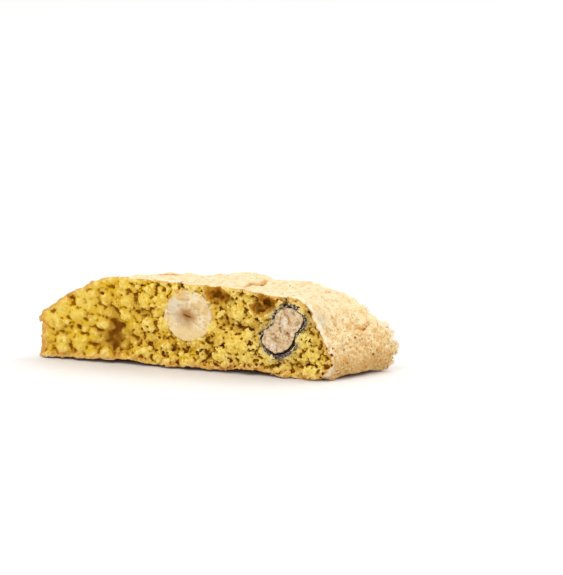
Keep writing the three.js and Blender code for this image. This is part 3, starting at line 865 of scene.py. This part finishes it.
# Its brown papery skin stuck to the dough as the nut shrank away from it. It stands round the kernel as a
# thin wrinkled cup with a torn rim, dusty grey along its edge, and it is thicker at the foot.
SKIN_VOXEL, SKIN_TRIANGLES, SKIN_MARGIN = 0.14, 40000, 1.2
SKIN_DEPTH, SKIN_NARROWING = 5.2, 4.4
SKIN_THICKNESS, FOLDED_THICKNESS, FOLDED_PART = 0.32, 0.6, (6.0, 9.0)
RIM_HEIGHT = 0.1  # above the cut


def skin_piece(name):
    """The cup of skin, as a fine mesh that replaces the node of that name."""
    low, high = (np.array(corner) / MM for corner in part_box(name))
    near = Block(low - SKIN_MARGIN, high + SKIN_MARGIN, SKIN_VOXEL)
    outside = outline_depth(near, SKIN_LINE, SKIN_DEPTH, SKIN_NARROWING) + 0.1 * near.swells(2.0, 71)
    outside = outside + 0.06 * near.swells(1.0, 72)
    low_part = 1 - ramp(near.z, *FOLDED_PART)
    thick = SKIN_THICKNESS + 0.06 * near.swells(3, 74) + FOLDED_THICKNESS * low_part
    wall = np.minimum(outside, thick - outside)
    cut = HALF_THICKNESS + RIM_HEIGHT - abs(near.y)
    cut = cut + 0.15 * near.swells(1.5, 75) + 0.08 * near.swells(0.8, 76)
    piece = near.skin(-np.minimum(wall, cut), name + "_cup", SKIN_TRIANGLES)
    frost = (1 - ramp(cut, 0.1, 0.6)) * (0.15 + 0.85 * ramp(near.z, 7, 11))
    tag(piece, frost=near.at(frost + np.zeros_like(wall), places(piece)))
    shade_smooth(piece)
    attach(piece, "root")
    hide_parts(name)
    return piece


def frosted_skin():
    """Greyish brown, with a pale dusty rim."""
    finish = Finish("hazelnut_skin", 0.55)
    mottle = finish.pattern(1800, 4.0)
    base = finish.blend(colour("4C3C3A"), colour("84706A"), finish.between(mottle, 0.42, 0.6))
    floury = finish.between(mottle, 0.48, 0.6)
    base = finish.over(base, "D6CABA", floury, finish.number("frost"))
    return finish.paint(base, height=mottle, distance=0.0003, strength=0.7)


right_skin = skin_piece("hazelnut_front_right_skin")
right_skin.data.materials.append(frosted_skin())


# Two more hazelnuts were baked in and show in the back cut, one split between its halves and one with the
# small hollow in its heart. Both kept their thin brown skin, which is a line round the kernel.
BACK_NUT_HOLLOWS = {
    "hazelnut_back_left": ((37.3, BACK, 10.9), (0.6, 2.6, 5.0), 0.5),
    "hazelnut_back_right": ((69.8, BACK, 12.2), (1.0, 2.2, 1.7), 0.2),
}
BACK_ROUGHNESS = 0.12


def browned_kernel():
    """Light brown flesh within a line of brown skin."""
    finish = Finish("browned_hazelnut", NUT_ROUGHNESS)
    grain = finish.pattern(1300, 4.0)
    mottle = finish.pattern(380, 3.0)
    flesh = finish.blend(colour("D9BC94"), colour("B88E68"), finish.between(mottle, 0.42, 0.66))
    flesh = finish.over(flesh, "F1E0C4", finish.between(grain, 0.54, 0.7))
    skin = finish.blend(colour("5E3A22"), colour("8A5C38"), finish.between(grain, 0.4, 0.6))
    flesh = finish.blend(flesh, skin, finish.between(finish.number("kernel_depth"), 0.5, 0.3))
    return finish.paint(flesh, height=grain, distance=0.0004, strength=0.7)


browned = browned_kernel()
for name, lobe in BACK_NUTS.items():
    def back_depth(block):
        return lobe_depth(block, lobe) + 0.05 * block.swells(7, 65) + 0.05 * block.swells(2, 66)

    back_nut = kernel_piece(name, back_depth, BACK_ROUGHNESS, BACK_NUT_HOLLOWS[name])
    back_nut.data.materials.append(browned)


# The slice stands on a plain pale table, in an even white room that is brighter towards its ceiling. A wide
# soft light comes from above and behind, and a weaker one from above and in front.
TABLE_RADIUS, TABLE_SIDES, TABLE_ROUGHNESS = 6.0, 96, 0.6
ROOM_BELOW, ROOM_ABOVE = 0.25, 1.45
LIT_PLACE = (0, 0, 0.01)
SENSOR_WIDTH, LENS = 36, 123.13
NEAREST, FARTHEST = 0.01, 50
CAMERA_PLACE, CAMERA_DOWN, CAMERA_TURN = (0.18211, -0.47302, 0.12627), 11.769, 19.1025


def pale_table():
    finish = Finish("pale_table", TABLE_ROUGHNESS)
    shade = finish.between(finish.pattern(3, 2.0), 0.2, 0.8)
    return finish.paint(finish.blend(colour("E9E7E6"), colour("ECEAE9"), shade))


bpy.ops.mesh.primitive_circle_add(
    vertices=TABLE_SIDES, radius=TABLE_RADIUS, fill_type="NGON", location=(0, 0, 0)
)
table = bpy.context.object
table.name = "table"
table.data.materials.append(pale_table())

world = bpy.data.worlds.new("room")
bpy.context.scene.world = world
world.use_nodes = True
sky = world.node_tree.nodes
direction = sky.new("ShaderNodeSeparateXYZ")
brightness = sky.new("ShaderNodeMapRange")
brightness.inputs["To Min"].default_value = ROOM_BELOW
brightness.inputs["To Max"].default_value = ROOM_ABOVE
sky["Background"].inputs["Color"].default_value = (1, 1, 1, 1)
world.node_tree.links.new(sky.new("ShaderNodeTexCoord").outputs["Generated"], direction.inputs[0])
world.node_tree.links.new(direction.outputs["Z"], brightness.inputs["Value"])
world.node_tree.links.new(brightness.outputs["Result"], sky["Background"].inputs["Strength"])


def soft_light(name, place, target, size, watts):
    """A round lamp of that size across, turned towards its target."""
    light = bpy.data.lights.new(name, "AREA")
    light.shape = "DISK"
    light.size = size
    light.energy = watts
    held = bpy.data.objects.new(name, light)
    bpy.context.collection.objects.link(held)
    held.location = place
    held.rotation_euler = (Vector(target) - Vector(place)).to_track_quat("-Z", "Y").to_euler()


soft_light("window", place=(2.0, 1.25, 2.75), target=LIT_PLACE, size=2.0, watts=37)
soft_light("overhead", place=(-0.75, -1.5, 3.25), target=LIT_PLACE, size=1.75, watts=20)

camera_data = bpy.data.cameras.new("camera")
camera = bpy.data.objects.new("camera", camera_data)
bpy.context.collection.objects.link(camera)
bpy.context.scene.camera = camera
camera_data.sensor_width = SENSOR_WIDTH
camera_data.lens = LENS
camera_data.clip_start = NEAREST
camera_data.clip_end = FARTHEST
camera.location = CAMERA_PLACE
camera.rotation_euler = (math.radians(90 - CAMERA_DOWN), 0, math.radians(CAMERA_TURN))
bpy.context.scene.view_settings.view_transform = "Standard"
